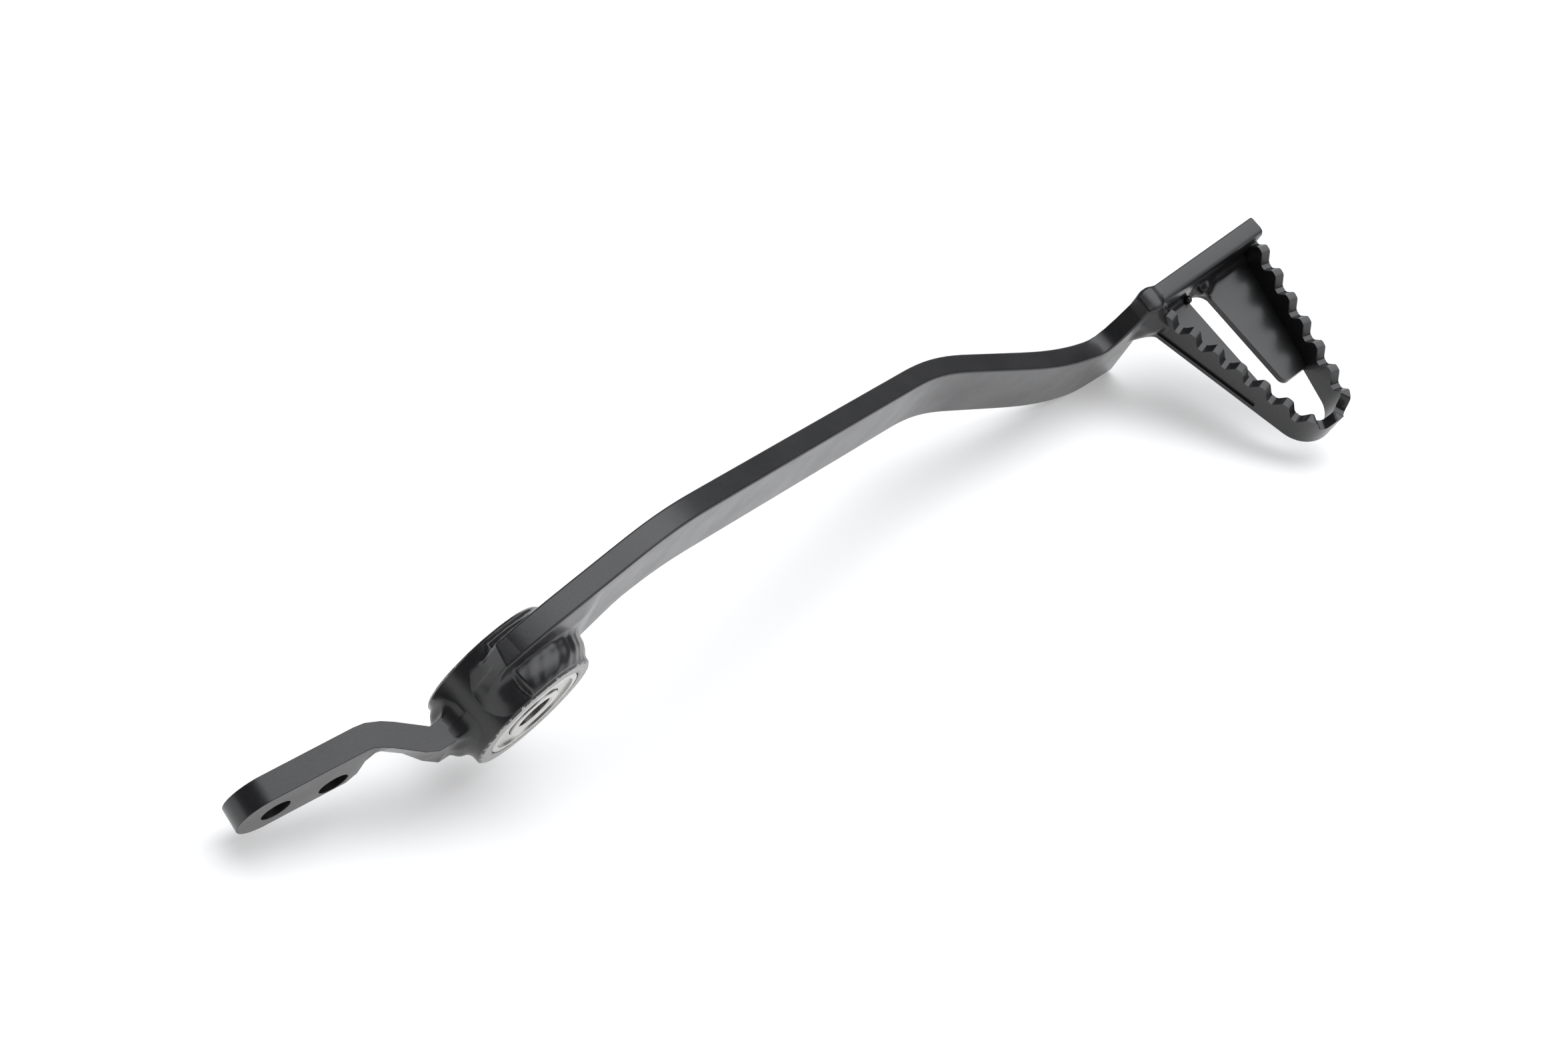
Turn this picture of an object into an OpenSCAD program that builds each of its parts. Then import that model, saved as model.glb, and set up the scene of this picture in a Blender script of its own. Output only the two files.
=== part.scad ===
// Rear brake pedal: plate arm welded to a bearing hub, rear lever and serrated foot loop.
// Millimetres. Origin at the middle of the hub bore, X forward, Y inboard, Z up.

/* [Hub] */
// Outside diameter of the hub barrel
hub_d = 28.2; // [26:0.1:34]
// Length of the hub barrel along the pivot
hub_len = 14.8; // [14.6:0.1:20]
// Small chamfer on the barrel's outside edges
hub_chamfer = 0.5; // [0.2:0.1:1]
// Inside diameter of the rib between the two bearings
rib_d = 19.4; // [18:0.1:20.5]

/* [Bearings] */
// Bearing outside diameter
brg_od = 22; // [22:1:22]
// Bearing bore
brg_bore = 8; // [8:1:8]
// Gap between the two bearings, filled by the rib and the inner sleeve
rib_w = 0.8; // [0.6:0.1:4]
// Number of balls in each bearing
ball_n = 7; // [5:1:8]

/* [Arm] */
// Plate thickness of the arm
arm_t = 5; // [4:0.1:6]
// Height of the arm plate
arm_h = 20; // [17:0.1:23]
// Distance of the arm's outer face outboard of the hub middle
arm_off = 0.8; // [0:0.1:1.5]
// Height of the arm's top edge over the pivot axis
arm_top = 21.7; // [20.5:0.1:24]
// How far the arm's rear end stands behind the pivot axis
arm_back = 7.2; // [5:0.1:9]
// Distance from the pivot to where the arm starts to drop
drop_s = 37.5; // [30:0.5:45]
// Slope of the dropping run
drop_slope = 0.562; // [0.4:0.01:0.7]
// Distance along the arm to the outward bend
bend1_s = 140; // [120:1:150]
// Angle of the outward bend
bend1_ang = 18.6; // [10:0.1:25]
// Distance along the arm to the bend back
bend2_s = 187.4; // [175:1:190]
// Distance along the arm to where it turns up to the foot bar
rise_s = 204; // [198:0.5:206]
// Upward slope added at the arm's front end
rise_slope = 2.1; // [1.6:0.05:2.6]
// Length of the arm along its outer face
arm_len = 215.2; // [208:0.1:225]

/* [Rear lever] */
// Plate thickness of the rear lever
lev_t = 5.2; // [4:0.1:6]
// Height of the lever at its holes
lev_h = 14.3; // [12:0.1:17]
// Distance from the pivot back to the end hole
hole1_x = 49.2; // [44:0.1:56]
// Distance between the two holes
hole_gap = 12.6; // [10:0.1:15]
// Diameter of the two holes
hole_d = 6.2; // [5:0.1:7]
// Angle of the lever's rear part to the pedal's length
lev_ang = 10.8; // [5:0.1:15]

/* [Foot pad] */
// Length of the foot bar
bar_len = 38; // [34:0.5:44]
// Thickness of the foot bar
bar_t = 5; // [4:0.1:6]
// Height of the foot bar
bar_h = 14; // [12.5:0.1:18]
// Chamfer along the bar's outer top edge
bar_cham = 1.4; // [0.8:0.1:2.5]
// Height of the bar's top edge under the pivot axis
pad_drop = 60; // [55:0.5:65]
// Taper angle of each leg of the loop
loop_taper = 14.1; // [10:0.1:16]
// Distance from the bar to the middle of the loop's round end
loop_vc = 38.5; // [34:0.5:44]
// Thickness of the loop's strip
strip_t = 2.5; // [2:0.1:3]
// Depth of the loop's lower edge under the bar's top
loop_low = 11.4; // [10:0.1:13]
// Depth of the tooth roots under the bar's top
root_low = 4.8; // [4.4:0.1:6]
// Tooth height
tooth_h = 2.9; // [2.2:0.1:3.6]
// Number of tooth pitches round the loop
tooth_n = 15; // [12:1:18]
// Thickness of the turned-in flanges
flange_t = 2; // [1.5:0.1:2.5]
// Position of the rear flange's free edge along the bar
flange_r = -5.3; // [-7:0.1:-4]
// Position of the front flange's free edge along the bar
flange_f = 0.5; // [-1:0.1:2]
// How far the flanges reach out from the bar
flange_len = 31.5; // [26:0.5:34]

/* [Welds] */
// Leg of the outer ring weld on the arm
weld_leg = 4.6; // [3:0.1:5.5]
// Leg of the inner ring weld
weld_in = 2.5; // [1.5:0.1:3]
// Bare strip of the barrel between a ring weld and the barrel's end
weld_bare = 0.7; // [0.4:0.1:1]

/* [Hidden] */
$fn = 96;
black = [0.05, 0.05, 0.055];
steel = [0.75, 0.75, 0.76];
hub_r = hub_d / 2;
brg_w = (hub_len - rib_w) / 2;
ball_d = 0.567 * brg_w;
pad_yaw = 4.07;
loop_w = bar_len / 2 - 0.1;
bend1_w = 25;
bend2_w = 44;
drop_w = 26.7;
rise_w = 14;
low_rise = 0.3;
end_x = 4.4;
end_slope = 2;
flare_max = 8.5;
bend2_ang = bend1_ang - pad_yaw;
droop_x = 10;
droop = 0.01;
flare_x = 27.5;
flare_slope = 0.6;
ds = 2.6;
arm_n = ceil((arm_len + arm_back) / ds);
dst = (arm_len + arm_back) / arm_n;

function clamp01(t) = min(1, max(0, t));
function step01(s, a, w) = let (t = clamp01((s - a) / w + 0.5)) t * t * (3 - 2 * t);
function ramp(s, a, w) = let (t = clamp01((s - a) / w + 0.5))
    w * (t * t * t - t * t * t * t / 2) + max(0, s - a - w / 2);
function arm_yaw(s) = bend2_ang * step01(s, bend2_s, bend2_w) - bend1_ang * step01(s, bend1_s, bend1_w);
function arm_line(s) = arm_top - drop_slope * ramp(s, drop_s, drop_w);
function arm_rise(s) = rise_slope * ramp(s, rise_s, rise_w);
function arm_zt(s) = s < rise_s - rise_w ? arm_line(s) - droop * pow(max(0, droop_x - s), 2) - end_slope * max(0, -end_x - s)
    : min(arm_line(s) + arm_rise(s), max(-pad_drop, arm_line(s)));
function arm_zb(s) = arm_line(s) - arm_h + low_rise * ramp(s, rise_s - 4, 6)
    - min(flare_max, flare_slope * max(0, flare_x - s));
arm_xy = [for (i = 0, x = -arm_back, y = -arm_off; i <= arm_n;
               x = x + dst * cos(arm_yaw(-arm_back + dst * (i + 0.5))),
               y = y + dst * sin(arm_yaw(-arm_back + dst * (i + 0.5))), i = i + 1) [x, y]];
arm_end = arm_xy[arm_n];
// pad frame: origin on the bar's outer face at its middle, top edge
pad_x = arm_end[0] + cos(pad_yaw) * bar_len / 2;
pad_y = arm_end[1] - sin(pad_yaw) * bar_len / 2;

function arm_sec(i) = let (s = -arm_back + dst * i, a = arm_yaw(s), p = arm_xy[i],
                           q = [p[0] - arm_t * sin(a), p[1] + arm_t * cos(a)])
    [[p[0], p[1], arm_zb(s)], [p[0], p[1], arm_zt(s)], [q[0], q[1], arm_zt(s)], [q[0], q[1], arm_zb(s)]];

// closed solid through a list of sections, each a ring of m corners
module loft(secs) {
    n = len(secs);
    m = len(secs[0]);
    polyhedron(
        points = [for (s = secs) for (p = s) p],
        faces = concat(
            [[for (k = [0:m - 1]) k]],
            [for (i = [0:n - 2]) for (k = [0:m - 1]) each
                [[m * i + k, m * i + m + k, m * i + (k + 1) % m],
                 [m * i + (k + 1) % m, m * i + m + k, m * i + m + (k + 1) % m]]],
            [[for (k = [m - 1:-1:0]) m * (n - 1) + k]]));
}

module along_y(y0, l) {
    translate([0, y0, 0]) rotate([-90, 0, 0]) cylinder(r = hub_r, h = l);
}

module hub_core() {
    along_y(-hub_len / 2, hub_len);
}

module arm_plate() {
    color(black) difference() {
        loft([for (i = [0:arm_n]) arm_sec(i)]);
        along_y(-hub_len, 2 * hub_len);
    }
}

// turned ring about Y from a profile of [radius, y] points
module turned(pts) {
    rotate([-90, 0, 0]) rotate_extrude() polygon([for (p = pts) [p[0], p[1]]]);
}

module hub_barrel() {
    h = hub_len / 2;
    c = hub_chamfer;
    g = rib_w / 2;
    r = brg_od / 2;
    color(black) turned([[r, -h], [hub_r - c, -h], [hub_r, -h + c], [hub_r, h - c], [hub_r - c, h],
                         [r, h], [r, g], [rib_d / 2, g], [rib_d / 2, -g], [r, -g]]);
}

// bearing: outer face at y = -brg_w/2
ring_o = 9.5;
ring_i = 6.05;
land_o = 8.95;
pitch_r = (brg_od + brg_bore) / 4;
race_r = ball_d / 2 * 1.03;
gap = 0.02;
shield_t = 0.3;
shield_in = 0.45;
shield_ri = 6.25;
shield_ro = 9.72;
sleeve_r = ring_i - 0.3;
edge = 0.35;

module outer_ring() {
    w = brg_w / 2;
    R = brg_od / 2;
    sy = w - shield_in;
    difference() {
        turned([[ring_o, -w], [R - edge, -w], [R, -w + edge], [R, w - edge], [R - edge, w], [ring_o, w],
                [ring_o, sy], [shield_ro, sy], [shield_ro, sy - shield_t], [land_o, sy - shield_t],
                [land_o, shield_t - sy], [shield_ro, shield_t - sy], [shield_ro, -sy], [ring_o, -sy]]);
        rotate([-90, 0, 0]) rotate_extrude()
            translate([pitch_r + gap + ball_d / 2 - race_r, 0]) circle(r = race_r, $fn = 48);
    }
}

module inner_ring() {
    w = brg_w / 2;
    r = brg_bore / 2;
    difference() {
        turned([[r + edge, -w], [ring_i - 0.15, -w], [ring_i, -w + 0.15], [ring_i, w - 0.15],
                [ring_i - 0.15, w], [r + edge, w], [r, w - edge], [r, edge - w]]);
        rotate([-90, 0, 0]) rotate_extrude()
            translate([pitch_r - gap - ball_d / 2 + race_r, 0]) circle(r = race_r, $fn = 48);
    }
}

module shield(side) {
    sy = brg_w / 2 - shield_in;
    y0 = side > 0 ? sy - shield_t : -sy;
    turned([[shield_ri, y0], [shield_ro, y0], [shield_ro, y0 + shield_t], [shield_ri, y0 + shield_t]]);
}

module balls() {
    for (i = [0:ball_n - 1]) rotate([0, i * 360 / ball_n, 0])
        translate([pitch_r, 0, 0]) sphere(d = ball_d, $fn = 20);
}

module cage() {
    t = 0.9;
    h = brg_w / 2 - shield_in - shield_t - 0.3;
    difference() {
        turned([[pitch_r - t, -h], [pitch_r + t, -h], [pitch_r + t, h], [pitch_r - t, h]]);
        for (i = [0:ball_n - 1]) rotate([0, i * 360 / ball_n, 0])
            translate([pitch_r - 2 * t, 0, 0]) rotate([0, 90, 0]) cylinder(d = ball_d + 0.2, h = 4 * t, $fn = 48);
    }
}

// distance of each bearing's middle from the hub middle
brg_y = hub_len / 2 - brg_w / 2;

module at_a() { translate([0, -brg_y, 0]) children(); }
module at_b() { translate([0, brg_y, 0]) children(); }
module outer_ring_a() { color(steel) at_a() outer_ring(); }
module inner_ring_a() { color(steel) at_a() inner_ring(); }
module shield_a1() { color(steel) at_a() shield(-1); }
module shield_a2() { color(steel) at_a() shield(1); }
module balls_a() { color(steel) at_a() balls(); }
module cage_a() { color(steel) at_a() cage(); }
module outer_ring_b() { color(steel) at_b() outer_ring(); }
module inner_ring_b() { color(steel) at_b() inner_ring(); }
module shield_b1() { color(steel) at_b() shield(-1); }
module shield_b2() { color(steel) at_b() shield(1); }
module balls_b() { color(steel) at_b() balls(); }
module cage_b() { color(steel) at_b() cage(); }

module inner_spacer() {
    g = rib_w / 2;
    color(steel) turned([[brg_bore / 2, -g], [sleeve_r, -g], [sleeve_r, g], [brg_bore / 2, g]]);
}

// rear lever: a straight part with the holes, then a joggle outboard to the hub
lev_x0 = 31;
lev_y0 = 6.35;
lev_jog = 8.9;
lev_z = -3;
lev_l = hole1_x - lev_x0;
tip_l = 1.2;
hole_low = 0.6;

// cutters in the lever's own plane: the two holes and the round end
module lever_cuts() {
    translate([-lev_x0, lev_y0, lev_z]) rotate([0, 0, -lev_ang]) rotate([90, 0, 0]) translate([0, 0, -lev_t - 1]) {
        translate([-lev_l, -0.7, 0]) cylinder(d = hole_d, h = lev_t + 2);
        translate([-lev_l + hole_gap, hole_d / 2 + hole_low - lev_h / 2, 0]) cylinder(d = hole_d, h = lev_t + 2);
        linear_extrude(lev_t + 2) difference() {
            translate([-lev_l - 3 * lev_h, -lev_h]) square([3 * lev_h - tip_l, 2 * lev_h]);
            translate([-lev_l - tip_l, 0]) circle(d = lev_h + 0.01);
        }
    }
}

// one section: outer top corner x, y, direction, and how far the lower edge is raised and set inboard
function lev_sec(x, y, a, up, q) = let (n = [sin(a), cos(a), 0] * lev_t, zt = lev_z + lev_h / 2 - 0.03 * max(0, x + lev_x0),
                                        t = [x, y, zt], d = [0, q, lev_z - lev_h / 2 + up - zt])
    [t + n + d, t + n, t, t + d];

function on_straight(l) = [-lev_x0 - l * cos(lev_ang), lev_y0 + l * sin(lev_ang)];
lev_a = on_straight(lev_l + 2 * lev_h);
lev_b = on_straight(0.27 * lev_jog);
lev_reach = hub_r - 3.2;

// section at shares u, v of the joggle, with shares up of the height and q of the thickness
function jog_sec(u, v, a, up, q) = lev_sec(-lev_x0 + u * lev_jog, lev_y0 - v * lev_jog, a, up * lev_h, q * lev_t);

module lever_body() {
    loft([lev_sec(lev_a[0], lev_a[1], lev_ang, 0, 0),
          lev_sec(lev_b[0], lev_b[1], lev_ang, 0, 0),
          jog_sec(0, 0, lev_ang, 0.112, 0.04),
          jog_sec(0.157, 0.045, 21, 0.182, 0.23),
          jog_sec(0.303, 0.146, 37, 0.238, 0.54),
          jog_sec(0.449, 0.281, 46, 0.266, 0.846),
          jog_sec(0.944, 0.809, 46, 0.266, 0.885),
          jog_sec(1.191, 0.966, 20, 0.21, 0.5),
          jog_sec(1.461, 1, 4, 0.168, 0.154),
          lev_sec(-lev_reach, lev_y0 - lev_jog, 0, 0.168 * lev_h, 0)]);
}

module rear_lever() {
    color(black) difference() {
        lever_body();
        lever_cuts();
        along_y(-hub_len, 2 * hub_len);
    }
}

// pad: local X along the bar, local -Y outward, local Z up, top of the bar at 0
module pad_place() {
    translate([pad_x, pad_y, -pad_drop]) rotate([0, 0, -pad_yaw]) children();
}

module bar_solid() {
    translate([-bar_len / 2, 0, 0]) rotate([90, 0, 90]) linear_extrude(bar_len)
        polygon([[0, -bar_h], [bar_t, -bar_h], [bar_t, -0.4], [bar_t - 0.4, 0], [bar_cham, 0],
                 [bar_cham * 0.35, -bar_cham * 0.3], [0, -bar_cham]]);
}

module foot_bar() {
    color(black) pad_place() bar_solid();
}

ta = loop_taper;
loop_r = (loop_w - loop_vc * tan(ta)) * cos(ta);
leg_l = loop_vc / cos(ta) + loop_r * tan(ta);
tip_ang = 180 - 2 * ta;
neutral = loop_r - strip_t / 2;
path_l = 2 * leg_l + neutral * tip_ang * PI / 180;
pitch = path_l / tooth_n;

// outline of the loop, set in by d from its outer face
module loop_outline(d) {
    r = loop_r - d;
    w = loop_w - d / cos(ta);
    translate([0, -loop_vc]) circle(r = r);
    polygon([[-w, 0], [w, 0], [r * cos(ta), -loop_vc - r * sin(ta)], [-r * cos(ta), -loop_vc - r * sin(ta)]]);
}

// puts children at distance s along the loop, local X along it, local Y inward
module on_loop(s) {
    t = (s - leg_l) / neutral * 180 / PI;
    if (s <= leg_l) {
        translate([-loop_w + s * sin(ta), -s * cos(ta), 0]) rotate([0, 0, ta - 90]) children();
    } else if (s >= path_l - leg_l) {
        translate([loop_w - (path_l - s) * sin(ta), -(path_l - s) * cos(ta), 0])
            rotate([0, 0, 90 - ta]) children();
    } else {
        translate([0, -loop_vc, 0]) rotate([0, 0, ta - 90 + t]) translate([0, -loop_r, 0]) children();
    }
}

// cutter between two teeth, root flat in the middle
module notch() {
    h = tooth_h;
    k = pitch / 2;
    translate([0, 1.5 + strip_t, 0]) rotate([90, 0, 0]) linear_extrude(3 + strip_t)
        polygon([[-0.6, 0], [0.6, 0], [1.1, 0.12 * h], [k - 1.25, 0.78 * h], [k - 0.95, 0.93 * h], [k - 0.45, h],
                 [k, h + 0.02], [k, h + 2], [-k, h + 2], [-k, h + 0.02], [0.45 - k, h], [0.95 - k, 0.93 * h],
                 [1.25 - k, 0.78 * h], [-1.1, 0.12 * h]]);
}

module loop_band() {
    difference() {
        translate([0, 0, -loop_low]) linear_extrude(loop_low - root_low + tooth_h) difference() {
            loop_outline(0);
            loop_outline(strip_t);
            translate([-2 * loop_w, 0]) square([4 * loop_w, 3]);
        }
        for (i = [0:tooth_n]) translate([0, 0, -root_low]) on_loop(i * pitch) notch();
    }
}

module flanges() {
    z0 = -loop_low;
    fil = 3;
    e = strip_t / cos(ta);
    translate([0, 0, z0]) linear_extrude(flange_t) difference() {
        intersection() {
            loop_outline(strip_t - 0.01);
            translate([-loop_w, -flange_len]) square([2 * loop_w, flange_len]);
        }
        translate([flange_r, -flange_len - 1]) square([flange_f - flange_r, flange_len + 2]);
        translate([flange_f - 1, -flange_len - 1]) difference() {
            square([3, 3]);
            translate([3, 3]) circle(r = 2, $fn = 32);
        }
    }
    // inside radius between each leg and its flange
    for (m = [0, 1]) mirror([m, 0, 0]) intersection() {
        translate([loop_w - e + 0.01, 0, z0 + flange_t - 0.01]) rotate([0, 0, -90 - ta]) rotate([90, 0, 90])
            linear_extrude(flange_len + 4) difference() {
                square([fil, fil]);
                translate([fil, fil]) circle(r = fil, $fn = 48);
            }
        translate([-loop_w, -flange_len, z0]) cube([2 * loop_w, flange_len, loop_low]);
    }
}

module cleat_loop() {
    color(black) pad_place() union() {
        loop_band();
        flanges();
    }
}

function lerp(a, b, u) = a + (b - a) * u;
function at_angle(t, pts) = [for (p = pts) [p[0] * cos(t), p[1], p[0] * sin(t)]];
weld_ripple = 0.05;

// rippled fillet round the barrel against one face of the arm, from angle t0 to t1; legs are [on the arm, on the barrel]
module ring_weld(y, side, t0, t1, legs0, legs1, ripples) {
    n = 3 * ripples;
    foot = hub_r / cos((t1 - t0) / n / 2);
    loft([for (i = [0:n])
        let (u = i / n, k = min(1, 6 * u + 0.4, 5 * (1 - u) + 0.35) * (1 + weld_ripple * sin(120 * i)),
             a = lerp(legs0[0], legs1[0], u) * k, b = side * lerp(legs0[1], legs1[1], u) * k)
        at_angle(lerp(t0, t1, u), [[foot, y], [hub_r + a, y], [hub_r + a * 0.88, y + b * 0.32],
                                   [hub_r + a * 0.6, y + b * 0.68], [hub_r + a * 0.26, y + b * 0.92],
                                   [foot, y + b]])]);
}

module weld_arm_outer() {
    b = min(1.283 * weld_leg, hub_len / 2 - arm_off - weld_bare);
    color(black) ring_weld(-arm_off, -1, -24, 116, [weld_leg, b - weld_bare], [0.91 * weld_leg, b], 14);
}

module weld_arm_inner() {
    b = min(weld_in, hub_len / 2 + arm_off - arm_t - weld_bare);
    color(black) ring_weld(arm_t - arm_off, 1, -20, 116, [0.96 * weld_in, 0.92 * b], [1.04 * weld_in, 0.96 * b], 12);
}

// low mound on the barrel behind the arm's end
module weld_arm_end() {
    y0 = -arm_off - 0.6;
    y1 = arm_t - arm_off + 0.4;
    ym = (y0 + y1) / 2;
    t0 = 110;
    t1 = 141;
    n = 14;
    foot = hub_r / cos((t1 - t0) / n / 2);
    color(black) difference() {
        loft([for (i = [0:n])
            let (u = i / n, h = 2.6 * (1 - u * u) + 0.15)
            at_angle(lerp(t0, t1, u), [[foot, y0], [foot + h * 0.6, y0 + 0.9], [foot + h, ym],
                                       [foot + h * 0.6, y1 - 0.9], [foot, y1]])]);
        translate([-arm_back, -arm_t, 0]) cube([2 * arm_back, 3 * arm_t, 2 * hub_r]);
    }
}

// egg-shaped bead in the corner between the barrel and each side of the lever
module lever_bead(y, r) {
    z0 = lev_z + 0.056 * lev_h;
    translate([-hub_r - 0.4, y, z0]) rotate_extrude($fn = 32)
        polygon([for (p = [[0, -0.448], [0.5, -0.406], [0.84, -0.28], [1, -0.084], [0.97, 0.112], [0.8, 0.266],
                           [0.5, 0.35], [0, 0.385]]) [p[0] * r, p[1] * lev_h]]);
}

module weld_lever() {
    color(black) difference() {
        union() {
            lever_bead(lev_y0 - lev_jog + 0.3, 0.6 * lev_t);
            lever_bead(lev_y0 - lev_jog + lev_t, 0.58 * lev_t);
        }
        along_y(-hub_len, 2 * hub_len);
        lever_body();
    }
}

// weld that fills the corner between the arm's outer face and the loop's rear leg
module weld_foot_joint() {
    color(black) pad_place() difference() {
        translate([-loop_w, 0, -loop_low]) linear_extrude(loop_low - 3) polygon([
            [0, 0], [6 * sin(ta), -6 * cos(ta)], [-0.4, -4.4], [-2.4, -2.4], [-4.8, -0.9], [-7, 0]]);
        loop_band();
    }
}

// bead in the corner between the bar and a flange
module flange_bead(x0, x1) {
    translate([x0, 0, -loop_low + flange_t]) rotate([90, 0, 90]) linear_extrude(x1 - x0)
        polygon([[0, 0], [-2, 0], [-1.6, 0.9], [-0.8, 1.8], [0, 2.2]]);
}

module weld_loop_rear() {
    color(black) pad_place() difference() {
        flange_bead(-loop_w + strip_t, flange_r - 0.5);
        loop_band();
        flanges();
    }
}

module weld_loop_front() {
    color(black) pad_place() difference() {
        flange_bead(flange_f - 2.6, loop_w - strip_t);
        loop_band();
        flanges();
    }
}

module weld_spatter() {
    color(black) pad_place() difference() {
        translate([flange_r - 0.4, -1.2, -loop_low + flange_t + 0.9]) sphere(r = 1.05, $fn = 24);
        flange_bead(-loop_w + strip_t, flange_r - 0.5);
        flanges();
        bar_solid();
    }
}

arm_plate();
hub_barrel();
rear_lever();
foot_bar();
cleat_loop();
outer_ring_a();
inner_ring_a();
shield_a1();
shield_a2();
balls_a();
cage_a();
outer_ring_b();
inner_ring_b();
shield_b1();
shield_b2();
balls_b();
cage_b();
inner_spacer();
weld_arm_outer();
weld_arm_inner();
weld_arm_end();
weld_lever();
weld_foot_joint();
weld_loop_rear();
weld_loop_front();
weld_spatter();
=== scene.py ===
# Looks of a welded rear brake pedal: black satin coat, bare steel bearing, pale floor.
import math

import bpy
import numpy as np
from mathutils import Matrix, Vector


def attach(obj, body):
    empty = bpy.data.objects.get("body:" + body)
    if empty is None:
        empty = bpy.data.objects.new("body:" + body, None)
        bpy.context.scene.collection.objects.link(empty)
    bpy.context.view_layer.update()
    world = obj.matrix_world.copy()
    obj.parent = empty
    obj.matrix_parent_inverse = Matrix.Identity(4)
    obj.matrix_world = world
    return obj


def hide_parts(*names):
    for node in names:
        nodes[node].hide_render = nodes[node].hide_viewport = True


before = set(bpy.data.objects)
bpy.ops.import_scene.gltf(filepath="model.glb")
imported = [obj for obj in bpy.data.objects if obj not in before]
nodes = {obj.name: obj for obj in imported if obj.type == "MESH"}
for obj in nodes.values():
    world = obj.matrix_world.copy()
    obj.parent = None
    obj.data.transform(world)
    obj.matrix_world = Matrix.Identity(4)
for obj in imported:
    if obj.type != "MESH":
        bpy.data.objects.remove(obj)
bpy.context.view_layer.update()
MM = 0.001

# the solved view of the photograph
CAM_PLACE = Vector((-0.21564, -0.09055, 0.52669))
CAM_RIGHT = Vector((0.68104, -0.68458, 0.25989))
CAM_UP = Vector((0.56300, 0.71648, 0.41193))
CAM_BACK = Vector((-0.46820, -0.13422, 0.87337))
SENSOR = 36.0
LENS = 69.63
TARGET = Vector((0.085, -0.012, -0.03))

# the floor that the pedal lies on, tilted in the pedal's own frame
FLOOR_UP = Vector((0.307, 0.396, 0.866)).normalized()
FLOOR_SIZE = 5.0

FLOOR_GREY = 0.88
FLOOR_GLOW = 0.3

# the two soft boxes: the way to each, its outer and inner edge in degrees, its light
SOFT_BOXES = (
    ((CAM_RIGHT * 0.4 + CAM_UP * 0.82 + CAM_BACK * 0.36).normalized(), 46, 20, 2.7),
    ((CAM_RIGHT * 0.9 + CAM_UP * 0.2 + CAM_BACK * 0.38).normalized(), 27, 10, 1.3),
)
ROOM_GLOW = 0.12

# half length and radius of the barrel, and the smallest radius that a weld reaches into it
HUB_HALF = 7.4 * MM
HUB_R = 14.1 * MM
WELD_CORE = 12.9

# the arm in millimetres: its top above the pivot, its height, and the bend after which it slopes down
ARM_TOP = 21.7
ARM_TALL = 20
ARM_SLOPE = 0.562
ARM_BEND = (37.5, 26.7)

# the arm's last point, the run from there to the foot bar's middle, and where that middle lies
ARM_END = 215.2
BAR_RUN = 19
BAR_TURN = -4.07
BAR_PLACE = (231.95, -19.303, -60)


def make_camera():
    data = bpy.data.cameras.new("camera")
    data.sensor_fit = "HORIZONTAL"
    data.sensor_width = SENSOR
    data.lens = LENS
    data.clip_start = 0.01
    data.clip_end = 50.0
    cam = bpy.data.objects.new("camera", data)
    bpy.context.scene.collection.objects.link(cam)
    turn = Matrix((CAM_RIGHT, CAM_UP, CAM_BACK)).transposed().to_4x4()
    cam.matrix_world = Matrix.Translation(CAM_PLACE) @ turn
    bpy.context.scene.camera = cam


class Nodes:
    """A short way to write a node tree."""

    def __init__(self, tree):
        self.tree = tree
        tree.nodes.clear()

    def add(self, kind, **settings):
        node = self.tree.nodes.new(kind)
        for name, value in settings.items():
            if hasattr(node, name):
                setattr(node, name, value)
            else:
                node.inputs[name.replace("_", " ")].default_value = value
        return node

    def link(self, a, b):
        self.tree.links.new(a, b)

    def math(self, op, a, b=None):
        node = self.tree.nodes.new("ShaderNodeMath")
        node.operation = op
        for socket, value in zip(node.inputs, (a, b)):
            if isinstance(value, (int, float)):
                socket.default_value = value
            elif value is not None:
                self.link(value, socket)
        return node.outputs[0]

    def noise(self, vector, scale, detail=3.0, rough=0.5):
        node = self.tree.nodes.new("ShaderNodeTexNoise")
        node.inputs["Scale"].default_value = scale
        node.inputs["Detail"].default_value = detail
        node.inputs["Roughness"].default_value = rough
        self.link(vector, node.inputs["Vector"])
        return node.outputs["Fac"]

    def span(self, value, a, b, to_a, to_b):
        node = self.tree.nodes.new("ShaderNodeMapRange")
        node.clamp = True
        for name, number in (("From Min", a), ("From Max", b), ("To Min", to_a), ("To Max", to_b)):
            node.inputs[name].default_value = number
        self.link(value, node.inputs["Value"])
        return node.outputs["Result"]

    def ramp(self, value, low, high):
        node = self.tree.nodes.new("ShaderNodeMix")
        node.data_type = "RGBA"
        node.inputs["A"].default_value = (*low, 1)
        node.inputs["B"].default_value = (*high, 1)
        self.link(value, node.inputs["Factor"])
        return node.outputs["Result"]

    def bump(self, height, strength, distance, normal=None):
        node = self.tree.nodes.new("ShaderNodeBump")
        node.inputs["Strength"].default_value = strength
        node.inputs["Distance"].default_value = distance
        self.link(height, node.inputs["Height"])
        if normal is not None:
            self.link(normal, node.inputs["Normal"])
        return node.outputs["Normal"]


def new_material(name):
    mat = bpy.data.materials.new(name)
    mat.use_nodes = True
    n = Nodes(mat.node_tree)
    shader = n.add("ShaderNodeBsdfPrincipled")
    out = n.add("ShaderNodeOutputMaterial")
    n.link(shader.outputs[0], out.inputs[0])
    place = n.add("ShaderNodeTexCoord").outputs["Object"]
    return mat, n, shader, out, place


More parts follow.
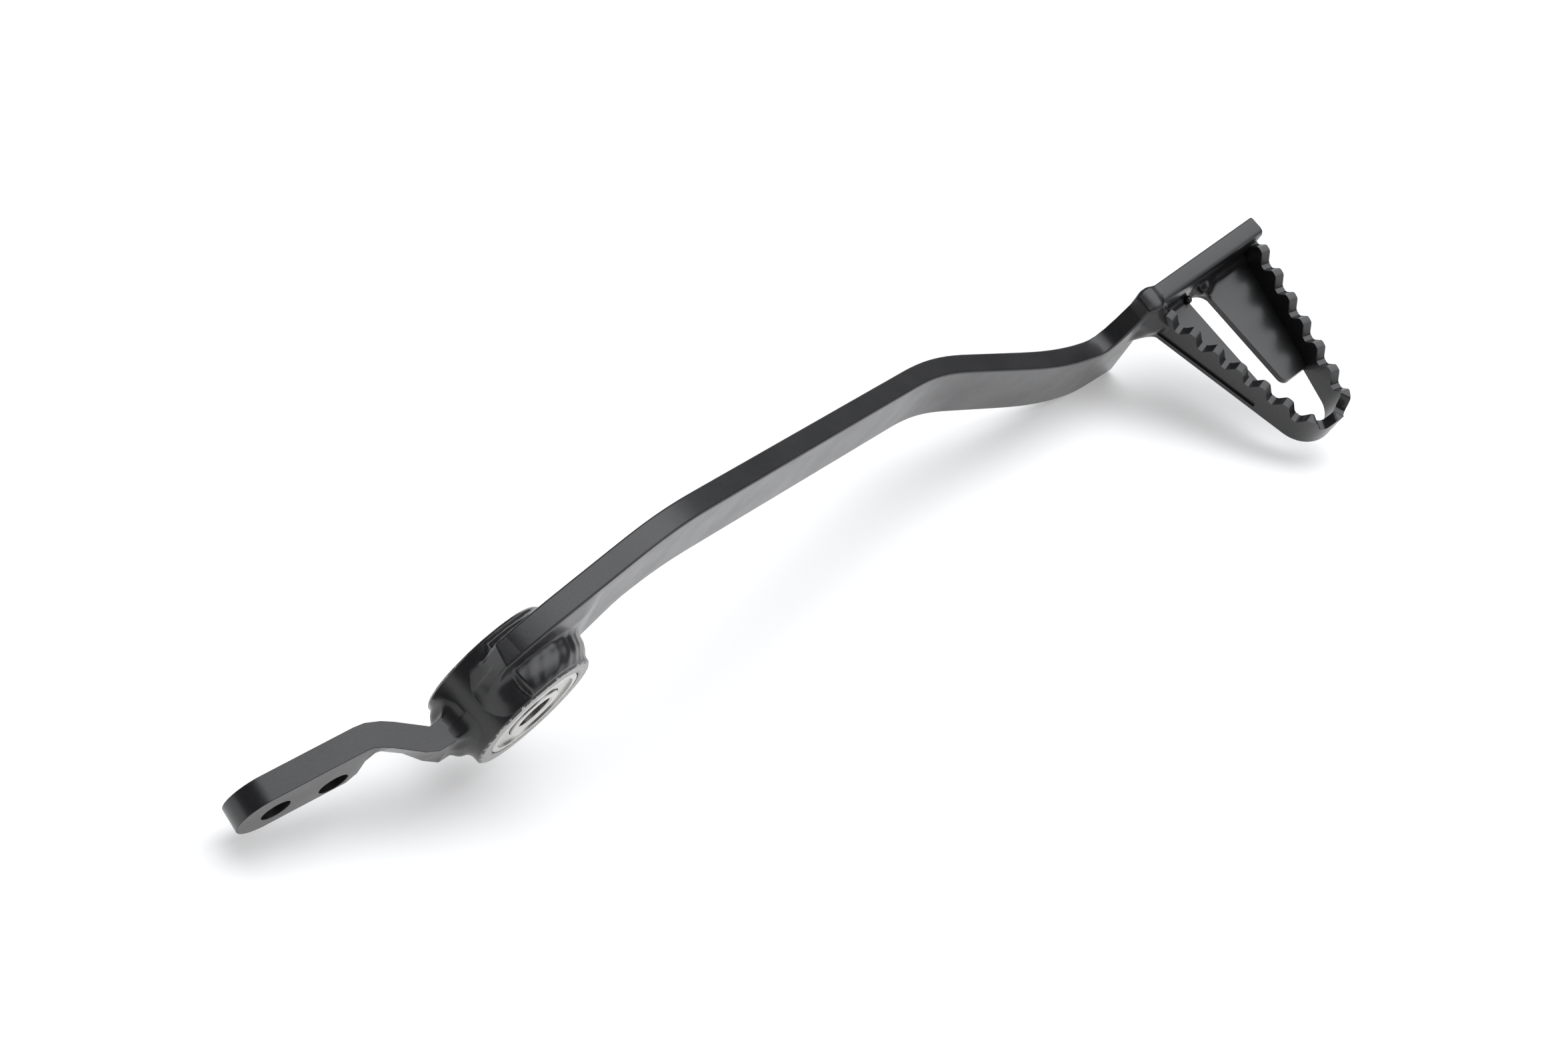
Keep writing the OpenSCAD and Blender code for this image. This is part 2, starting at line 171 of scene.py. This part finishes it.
def coat_look(n, shader, place):
    """Satin black powder coat with a fine grain and slightly worn patches."""
    grain = n.noise(place, 1500.0, 4.0, 0.6)
    mottle = n.noise(place, 90.0, 4.0, 0.6)
    shade = n.math("ADD", n.math("MULTIPLY", grain, 0.6), n.math("MULTIPLY", mottle, 0.4))
    colour = n.ramp(n.span(shade, 0.35, 0.65, 0.0, 1.0), (0.009, 0.009, 0.01), (0.017, 0.017, 0.0185))
    n.link(colour, shader.inputs["Base Color"])
    n.link(n.span(mottle, 0.3, 0.7, 0.31, 0.42), shader.inputs["Roughness"])
    shader.inputs["Specular IOR Level"].default_value = 0.36
    shader.inputs["Coat Weight"].default_value = 0.45
    shader.inputs["Coat Roughness"].default_value = 0.22
    fine = n.bump(grain, 0.22, 0.00012)
    n.link(n.bump(mottle, 0.12, 0.0006, fine), shader.inputs["Normal"])


def coat_material():
    mat, n, shader, out, place = new_material("black_coat")
    coat_look(n, shader, place)
    return mat


def radius_and_height(n, place):
    """Distance from the pivot axis and position along it."""
    parts = n.add("ShaderNodeSeparateXYZ")
    n.link(place, parts.inputs[0])
    x, y, z = parts.outputs
    r = n.math("SQRT", n.math("ADD", n.math("MULTIPLY", x, x), n.math("MULTIPLY", z, z)))
    return r, y


def turned_look(n, shader, place, low, high, rough, lines=9000.0):
    """Turned or ground steel: fine rings round the pivot axis."""
    r, y = radius_and_height(n, place)
    joined = n.add("ShaderNodeCombineXYZ")
    n.link(r, joined.inputs[0])
    n.link(y, joined.inputs[1])
    rings = n.noise(joined.outputs[0], lines, 2.0, 0.7)
    stain = n.noise(place, 260.0, 4.0, 0.6)
    mix = n.math("ADD", n.math("MULTIPLY", rings, 0.5), n.math("MULTIPLY", stain, 0.5))
    n.link(n.ramp(n.span(mix, 0.3, 0.7, 0.0, 1.0), low, high), shader.inputs["Base Color"])
    shader.inputs["Metallic"].default_value = 1.0
    n.link(n.span(stain, 0.3, 0.7, rough - 0.06, rough + 0.08), shader.inputs["Roughness"])
    n.link(n.bump(rings, 0.25, 0.00003), shader.inputs["Normal"])


def steel_material(name, low, high, rough):
    mat, n, shader, out, place = new_material(name)
    turned_look(n, shader, place, low, high, rough)
    return mat


def hub_material():
    """Black coat outside, bare turned steel on the end faces, with a chipped edge of the coat, and a
    broken dark ring of painted shade at the bore's edge.
    """
    mat, n, coat, out, place = new_material("hub_coat")
    coat_look(n, coat, place)
    steel = n.add("ShaderNodeBsdfPrincipled")
    turned_look(n, steel, place, (0.22, 0.215, 0.21), (0.46, 0.45, 0.44), 0.36)
    r, y = radius_and_height(n, place)
    ragged = n.math("MULTIPLY", n.math("SUBTRACT", n.noise(place, 900.0, 4.0, 0.7), 0.5), 0.9 * MM)
    edge = n.math("ADD", n.math("ABSOLUTE", y), ragged)
    bare = n.span(edge, HUB_HALF - 0.28 * MM, HUB_HALF - 0.2 * MM, 0.0, 1.0)
    broken_edges = n.span(n.noise(place, 700.0, 3.0, 0.6), 0.44, 0.5, 0.0, 1.0)
    # painted shade: a broken ring of black coat at the bore's edge stands in for the dark look of the
    # chamfer there; the ring at the outer rim is coat left on the edge
    painted_bore_shade = n.span(r, 11.2 * MM, 11.55 * MM, 1.0, 0.0)
    rim = n.span(r, 13.35 * MM, 13.7 * MM, 0.0, 1.0)
    coat_and_painted_shade = n.math("MULTIPLY", n.math("MAXIMUM", painted_bore_shade, rim), broken_edges)
    bare = n.math("MULTIPLY", bare, n.math("SUBTRACT", 1.0, coat_and_painted_shade))
    mix = n.add("ShaderNodeMixShader")
    n.link(bare, mix.inputs[0])
    n.link(coat.outputs[0], mix.inputs[1])
    n.link(steel.outputs[0], mix.inputs[2])
    n.link(mix.outputs[0], out.inputs[0])
    return mat


def paint(node, mat):
    obj = nodes[node]
    obj.data.materials.clear()
    obj.data.materials.append(mat)


def smoothing_group():
    """Geometry nodes that join the split faces and shade them smooth up to an edge angle."""
    tree = bpy.data.node_groups.new("smooth_faces", "GeometryNodeTree")
    tree.interface.new_socket("Geometry", in_out="INPUT", socket_type="NodeSocketGeometry")
    tree.interface.new_socket("Angle", in_out="INPUT", socket_type="NodeSocketFloat")
    tree.interface.new_socket("Geometry", in_out="OUTPUT", socket_type="NodeSocketGeometry")
    source = tree.nodes.new("NodeGroupInput")
    target = tree.nodes.new("NodeGroupOutput")
    plain = tree.nodes.new("GeometryNodeRemoveAttribute")
    plain.inputs["Name"].default_value = "custom_normal"
    weld = tree.nodes.new("GeometryNodeMergeByDistance")
    weld.inputs["Distance"].default_value = 2e-6
    smooth = tree.nodes.new("GeometryNodeSetShadeSmooth")
    smooth.domain = "FACE"
    angle = tree.nodes.new("GeometryNodeInputMeshEdgeAngle")
    sharp = tree.nodes.new("FunctionNodeCompare")
    sharp.data_type = "FLOAT"
    sharp.operation = "GREATER_THAN"
    crease = tree.nodes.new("GeometryNodeSetShadeSmooth")
    crease.domain = "EDGE"
    crease.inputs["Shade Smooth"].default_value = False
    tree.links.new(source.outputs[0], plain.inputs["Geometry"])
    tree.links.new(plain.outputs["Geometry"], weld.inputs["Geometry"])
    tree.links.new(weld.outputs["Geometry"], smooth.inputs["Geometry"])
    tree.links.new(smooth.outputs["Geometry"], crease.inputs["Geometry"])
    tree.links.new(angle.outputs["Unsigned Angle"], sharp.inputs[0])
    tree.links.new(source.outputs["Angle"], sharp.inputs[1])
    tree.links.new(sharp.outputs["Result"], crease.inputs["Selection"])
    tree.links.new(crease.outputs["Geometry"], target.inputs[0])
    return tree


SMOOTH_FACES = smoothing_group()


def soften(node, width, segments=3, angle=30.0):
    """Smooth shading up to an edge angle, and rounded edges where a width is given."""
    obj = nodes[node]
    smooth = obj.modifiers.new("smooth_faces", "NODES")
    smooth.node_group = SMOOTH_FACES
    smooth[SMOOTH_FACES.interface.items_tree["Angle"].identifier] = math.radians(angle)
    if width:
        mod = obj.modifiers.new("soft_edges", "BEVEL")
        mod.width = width
        mod.segments = segments
        mod.limit_method = "ANGLE"
        mod.angle_limit = math.radians(angle)
        mod.harden_normals = True


def make_floor():
    """A white floor under the part, seen from above only, with a little light of its own."""
    low = 10.0
    for obj in nodes.values():
        for v in obj.data.vertices:
            low = min(low, v.co.dot(FLOOR_UP))
    mesh = bpy.data.meshes.new("floor")
    h = FLOOR_SIZE / 2
    mesh.from_pydata([(-h, -h, 0), (h, -h, 0), (h, h, 0), (-h, h, 0)], [], [(0, 1, 2, 3)])
    floor = bpy.data.objects.new("floor", mesh)
    bpy.context.scene.collection.objects.link(floor)
    foot = TARGET - FLOOR_UP * (TARGET.dot(FLOOR_UP) - low)
    floor.matrix_world = Matrix.Translation(foot) @ FLOOR_UP.to_track_quat("Z", "Y").to_matrix().to_4x4()
    mat = bpy.data.materials.new("floor")
    mat.use_nodes = True
    n = Nodes(mat.node_tree)
    out = n.add("ShaderNodeOutputMaterial")
    matt = n.add("ShaderNodeBsdfDiffuse")
    matt.inputs["Color"].default_value = (FLOOR_GREY, FLOOR_GREY, FLOOR_GREY, 1)
    glow = n.add("ShaderNodeEmission")
    glow.inputs["Strength"].default_value = FLOOR_GLOW
    both = n.add("ShaderNodeAddShader")
    n.link(matt.outputs[0], both.inputs[0])
    n.link(glow.outputs[0], both.inputs[1])
    rays = n.add("ShaderNodeLightPath")
    seen = n.math("MAXIMUM", rays.outputs["Is Camera Ray"], rays.outputs["Is Glossy Ray"])
    seen = n.math("MAXIMUM", seen, rays.outputs["Is Transmission Ray"])
    pick = n.add("ShaderNodeMixShader")
    n.link(seen, pick.inputs[0])
    n.link(matt.outputs[0], pick.inputs[1])
    n.link(both.outputs[0], pick.inputs[2])
    clear = n.add("ShaderNodeBsdfTransparent")
    side = n.add("ShaderNodeNewGeometry")
    final = n.add("ShaderNodeMixShader")
    n.link(side.outputs["Backfacing"], final.inputs[0])
    n.link(pick.outputs[0], final.inputs[1])
    n.link(clear.outputs[0], final.inputs[2])
    n.link(final.outputs[0], out.inputs[0])
    mesh.materials.append(mat)


def make_world():
    """A dim room with two soft boxes, and white where the camera looks straight at it."""
    world = bpy.data.worlds.new("world")
    bpy.context.scene.world = world
    world.use_nodes = True
    n = Nodes(world.node_tree)
    out = n.add("ShaderNodeOutputWorld")
    white = n.add("ShaderNodeBackground")
    white.inputs["Color"].default_value = (1, 1, 1, 1)
    white.inputs["Strength"].default_value = 1.0
    room = n.add("ShaderNodeBackground")
    room.inputs["Color"].default_value = (0.97, 0.98, 1.0, 1)
    look = n.add("ShaderNodeTexCoord").outputs["Generated"]
    light = ROOM_GLOW
    for way, outer, inner, glow in SOFT_BOXES:
        toward = n.add("ShaderNodeVectorMath", operation="DOT_PRODUCT")
        n.link(look, toward.inputs[0])
        toward.inputs[1].default_value = way
        ends = math.cos(math.radians(outer)), math.cos(math.radians(inner))
        light = n.math("ADD", n.span(toward.outputs["Value"], *ends, 0.0, glow), light)
    n.link(light, room.inputs["Strength"])
    rays = n.add("ShaderNodeLightPath")
    mix = n.add("ShaderNodeMixShader")
    n.link(rays.outputs["Is Camera Ray"], mix.inputs[0])
    n.link(room.outputs[0], mix.inputs[1])
    n.link(white.outputs[0], mix.inputs[2])
    n.link(mix.outputs[0], out.inputs[0])


def surface_net(field, origin, cell):
    """Mesh of a field's zero surface: a corner in each crossed cell, a quad for each crossed edge."""
    shape = np.array(field.shape) - 1
    total = np.zeros((*shape, 3))
    count = np.zeros(shape)
    for axis in range(3):
        for corner in range(4):
            start = np.zeros(3, int)
            start[(axis + 1) % 3] = corner & 1
            start[(axis + 2) % 3] = corner >> 1
            step = np.eye(3, dtype=int)[axis]
            fa = field[tuple(slice(o, o + n) for o, n in zip(start, shape))]
            fb = field[tuple(slice(o, o + n) for o, n in zip(start + step, shape))]
            cross = (fa < 0) != (fb < 0)
            part = np.where(cross, fa / np.where(cross, fa - fb, 1.0), 0.0)
            total += cross[..., None] * (start + part[..., None] * step)
            count += cross
    cells = np.argwhere(count > 0)
    number = np.full(shape, -1)
    number[tuple(cells.T)] = np.arange(len(cells))
    verts = origin + cell * (cells + total[tuple(cells.T)] / count[tuple(cells.T)][:, None])
    faces = []
    for axis in range(3):
        u, v = np.eye(3, dtype=int)[(axis + 1) % 3], np.eye(3, dtype=int)[(axis + 2) % 3]
        step = np.eye(3, dtype=int)[axis]
        low = np.minimum(shape, shape + 1 - step)
        fa = field[tuple(slice(0, n) for n in low)]
        fb = field[tuple(slice(o, o + n) for o, n in zip(step, low))]
        spots = np.argwhere((fa < 0) != (fb < 0))
        spots = spots[(spots[:, (axis + 1) % 3] > 0) & (spots[:, (axis + 2) % 3] > 0)]
        quad = np.stack([number[tuple((spots - d).T)] for d in (u + v, v, 0 * u, u)], axis=1)
        flip = fa[tuple(spots.T)] >= 0
        quad[flip] = quad[flip][:, ::-1]
        faces.append(quad)
    return verts, np.concatenate(faces)


def grid(low, high, cell):
    """Sample places of a box, in millimetres."""
    axes = [np.arange(a, b, cell) for a, b in zip(low, high)]
    return np.meshgrid(*axes, indexing="ij")


def melt(a, b, k):
    """Union of two distance fields with a soft corner."""
    h = np.clip(k - np.abs(a - b), 0, None) / k
    return np.minimum(a, b) - h * h * k / 4


def block(sides, radius):
    """Distance to a solid bounded by half spaces, with rounded edges."""
    q = np.stack(sides) + radius
    return np.sqrt((np.clip(q, 0, None) ** 2).sum(0)) + np.minimum(q.max(0), 0) - radius


def lumps(x, y, z, scale, seed):
    """Smooth unevenness between about -1 and 1."""
    total = 0
    for i in range(5):
        t = seed + 2.4 * i
        wave = x * math.sin(1.7 * t) + y * math.cos(2.9 * t) + z * math.sin(4.1 * t + 1)
        total = total + np.sin(wave * scale * (0.7 + 0.22 * i) + 3 * t) * (0.9 - 0.12 * i)
    return total / 2.2


def smooth_step(t):
    t = np.clip(t, 0, 1)
    return t * t * (3 - 2 * t)


def skin(name, stands_for, field, low, cell, turn=0.0, place=(0.0, 0.0, 0.0)):
    """A weld that melts into its neighbours, in place of plain CAD beads."""
    verts, faces = surface_net(field, np.array(low), cell)
    c, d = math.cos(math.radians(turn)), math.sin(math.radians(turn))
    verts = verts @ np.array(((c, d, 0), (-d, c, 0), (0, 0, 1))) + np.array(place)
    mesh = bpy.data.meshes.new(name)
    mesh.from_pydata((verts * MM).tolist(), [], faces.tolist())
    mesh.shade_smooth()
    obj = bpy.data.objects.new(name, mesh)
    bpy.context.scene.collection.objects.link(obj)
    mesh.materials.append(COAT)
    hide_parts(*stands_for)
    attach(obj, "pedal")


def bend(s, middle, length):
    """Zero before a bend, the way gone after it, and a smooth curve between."""
    t = np.clip((s - middle) / length + 0.5, 0, 1)
    return length * (t**3 - t**4 / 2) + np.clip(s - middle - length / 2, 0, None)


def arm_top_edge(x, end=-4.4):
    """Height of the arm's top edge near the hub, rounded down toward its rear end."""
    back = 0.01 * np.clip(10 - x, 0, None) ** 2 + 2.3 * np.clip(end - x, 0, None)
    return ARM_TOP - ARM_SLOPE * bend(x, *ARM_BEND) - back


def sink(body, hard, depth=0.035):
    """Lowers a skin a hair under its neighbours where it adds nothing."""
    return body + depth * (1 - np.clip((hard - body) / 0.12, 0, 1))


def trim(body, *sides):
    """Cuts a field off where any side is above zero."""
    for side in sides:
        body = np.maximum(body, side)
    return body


def hub_welds():
    """The beads round the barrel on both sides of the arm, and the mound behind the arm's end."""
    low, cell = (-15.0, -7.45, -9.0), 0.25
    x, y, z = grid(low, (21.0, 7.45, 24.0), cell)
    r = np.sqrt(x * x + z * z)
    turn = np.degrees(np.arctan2(z, x))
    end = -4.5 - 0.28 * (4.2 - y)
    top = (z - arm_top_edge(x, end)) * np.where(x < end, 0.4, 0.98)
    foot = (arm_top_edge(x) - ARM_TALL - np.clip(0.6 * (27.5 - x), 0, 8.5) - z) * 0.86
    lean = 0.1 * np.clip(arm_top_edge(x) - z, 0, 7.5) * smooth_step((20 - x) / 6)
    arm = block([-0.8 - lean - y, y - 4.2, top, foot, -8.0 - x], 0.55)
    q = ((turn - 119) / 21) ** 2 + ((y + 1.2) / 6.2) ** 2
    mound = 1.15 * np.clip(1 - q, 0, None) ** 1.5 * (1 + 0.2 * lumps(x, y, z, 0.9, 3.0))
    barrel = r - HUB_R / MM - mound
    hard = np.minimum(arm, r - HUB_R / MM)
    # the large outer bead, heavier toward the arm's end, and a thin inner one
    on = smooth_step((turn + 30) / 14) * smooth_step((112 - turn) / 9)
    swell = smooth_step((turn - 20) / 60)
    ripple = 0.05 * np.sin(turn * 0.6 + 1.3 * y + 1.5 * lumps(x, y, z, 0.5, 5.0))
    ripple = ripple + 0.14 * lumps(x, y, z, 0.5, 1.0)
    size = (1.35 + 0.95 * swell + ripple) * on
    bead = np.hypot((r - 14.3) * 0.95, (y + 2.8 + 1.1 * swell) * 0.72) - size
    bead = bead + 3 * (1 - on)
    inner = np.hypot(r - 14.6, y - 4.8) - (1.05 + 0.5 * ripple) * on + 3 * (1 - on)
    body = melt(arm, barrel, np.where(y < 1.7, 3.2, 2.2))
    body = melt(body, np.where(y < 1.7, bead, inner), np.where(y < 1.7, 1.9, 1.4))
    body = trim(sink(body, hard), WELD_CORE - r, np.abs(y) - 7.0, x - 20.4, -8.4 - z)
    skin("weld_skin_hub", ("weld_arm_outer", "weld_arm_inner", "weld_arm_end"), body, low, cell)


def lever_weld():
    """The lever's root, melted into the barrel, with a bead on each side."""
    low, cell = (-24.0, -7.3, -12.0), 0.22
    stations = (-27, -22.6, -20.4, -18, -10)
    x, y, z = grid(low, (-8.4, 9.5, 10.5), cell)
    r = np.sqrt(x * x + z * z)
    outer = np.interp(x, stations, (3.85, -0.85, -2.25, -2.55, -2.55))
    inner = np.interp(x, (-25.17, -23.26, -18.86, -18.3, -10), (9.2, 7.46, 2.86, 2.65, 2.65))
    lean = np.interp(x, stations, (4.4, 4.6, 2.6, 0.8, 0))
    up = np.interp(x, stations, (3.8, 3.8, 3.0, 2.4, 2.4))
    flat = np.interp(x, (-22.6, -20.4, -18), (0.7, 0.9, 1.0))
    top = 4.15 - 0.03 * (x + 31)
    foot = -10.15 + up
    lean = lean * (top - z) / (top - foot)
    lever = block([(outer + lean - y) * flat, (y - inner - lean) * flat, z - top, foot - z], 0.55)
    barrel = r - HUB_R / MM
    hard = np.minimum(lever, barrel)
    rough = 1 + 0.3 * lumps(x, y, z, 0.9, 2.0)
    body = melt(lever, barrel, np.where(y < 0, 3.6, 3.0))
    bead = np.sqrt((x + 14.6) ** 2 + (y - 3.8) ** 2 + (0.5 * (z + 0.8)) ** 2) - 1.5 * rough
    body = melt(body, bead, 2.2)
    bead = np.sqrt((x + 14.6) ** 2 + (y + 3.0) ** 2 + (0.5 * (z + 2.6)) ** 2) - 1.1 * rough
    body = melt(body, bead, 2.6)
    body = trim(sink(body, hard), WELD_CORE - r, np.abs(y) - 7.1, -23.4 - x, x + 9.2, z - 9.8)
    skin("weld_skin_lever", ("weld_lever",), body, low, cell)


def arm_run(s):
    """Top and bottom edge of the arm near the foot bar, by length along the arm."""
    line = ARM_TOP - ARM_SLOPE * bend(s, *ARM_BEND)
    top = np.minimum(line + 2.1 * bend(s, 204, 14), np.maximum(BAR_PLACE[2], line))
    return top, line - ARM_TALL + 0.3 * bend(s, 200, 6)


def foot_weld():
    """Joint of the arm, the foot bar and the loop's rear leg, in the foot bar's own axes."""
    low, cell = (-31.0, -9.0, -36.0), 0.27
    u, v, w = grid(low, (19.5, 7.5, 1.2), cell)
    s = ARM_END + BAR_RUN + u
    top, foot = arm_run(np.minimum(s, ARM_END))
    top, foot = top - BAR_PLACE[2], foot - BAR_PLACE[2]
    # the arm's last turn in plan, and how far it puts the arm off the bar's line
    along = np.arange(180, 216, 0.5)
    yaw = np.radians(14.53) * (1 - smooth_step((along - 187.4) / 44 + 0.5))
    side = np.concatenate(([0], np.cumsum(np.tan(yaw)[:-1] * 0.5)))
    side = np.interp(s, along, side - side[-1])
    arm = block([-side - v, v - 5 + side, (w - top) * 0.75, (foot - w) * 0.85, u + 18.5], 0.6)
    bar = block([-20.6 - u, -v, v - 5, w, -14 - w, (1.4 - v + w) * 0.7, u - 18.6], 0.6)
    ta = math.radians(14.1)
    out = -(u + 18.9) * math.cos(ta) - v * math.sin(ta)
    leg = block([out, -2.5 - out, -11.4 - w, w + 4.9, v - 1], 0.4)
    rim = np.abs(u) - 17.8 - v * math.tan(ta)
    shelf = block([-11.4 - w, w + 9.4, rim, -12 - v, v - 1, np.minimum(u + 5.3, 0.5 - u)], 0.2)
    hard = np.minimum(np.minimum(arm, bar), leg)
    rough = 1 + 0.25 * lumps(u, v, w, 0.8, 4.0)
    body = melt(melt(arm, bar, 3.4), leg, 4.2)
    seam = np.where(u < -2, 0.75 + 0.45 * rough, 1.5 + 0.8 * smooth_step((5 - u) / 6) + 0.3 * rough)
    body = np.minimum(body, melt(bar, shelf, 2.2 * seam))
    hard = np.minimum(hard, shelf)
    bead = np.sqrt((0.3 * np.clip(u + 15, None, 0)) ** 2 + (v + 0.35) ** 2 + (w + 9.2) ** 2)
    bead = bead + 9 * smooth_step((u + 6.5) / 0.6) * smooth_step((-1.6 - u) / 0.6)
    body = melt(body, bead - 0.55 * seam, 0.8)
    bead = np.sqrt((0.8 * (u - 0.6)) ** 2 + (v + 1.0) ** 2 + (w + 8.4) ** 2) - 1.7 * rough
    body = melt(body, bead, 1.6)
    bead = np.sqrt((u + 19.0) ** 2 + (v + 0.6) ** 2 + (0.55 * (w + 7.0)) ** 2) - 2.2 * rough
    body = melt(body, bead, 2.8)
    bead = np.sqrt((u + 17.2) ** 2 + (v + 1.2) ** 2 + (w + 3.2) ** 2) - 0.9
    body = melt(body, bead, 1.0)
    body = trim(sink(body, hard), -30.0 - u, u - 16.0, v - 6.9, -8.0 - v)
    welds = ("weld_foot_joint", "weld_loop_rear", "weld_loop_front")
    skin("weld_skin_foot", welds, body, low, cell, BAR_TURN, BAR_PLACE)


make_camera()
COAT = coat_material()
RING = steel_material("bearing_steel", (0.42, 0.41, 0.4), (0.68, 0.67, 0.65), 0.24)
SHIELD = steel_material("pressed_steel", (0.45, 0.44, 0.42), (0.7, 0.69, 0.66), 0.32)
SLEEVE = steel_material("spacer_steel", (0.3, 0.29, 0.28), (0.5, 0.49, 0.47), 0.35)

for node in nodes:
    if node.startswith(("outer_ring", "inner_ring", "balls")):
        paint(node, RING)
    elif node.startswith(("shield", "cage")):
        paint(node, SHIELD)
    elif node == "inner_spacer":
        paint(node, SLEEVE)
    elif node == "hub_barrel":
        paint(node, hub_material())
    else:
        paint(node, COAT)

soften("arm_plate", 0.6 * MM)
soften("foot_bar", 0.4 * MM)
soften("rear_lever", 0.9 * MM)
soften("cleat_loop", 0.35 * MM, 2)
for node in nodes:
    if node.startswith("weld"):
        soften(node, 0, angle=70.0)
    elif node == "hub_barrel":
        soften(node, 0)

hub_welds()
lever_weld()
foot_weld()

make_floor()
make_world()

scene = bpy.context.scene
scene.view_settings.view_transform = "Standard"
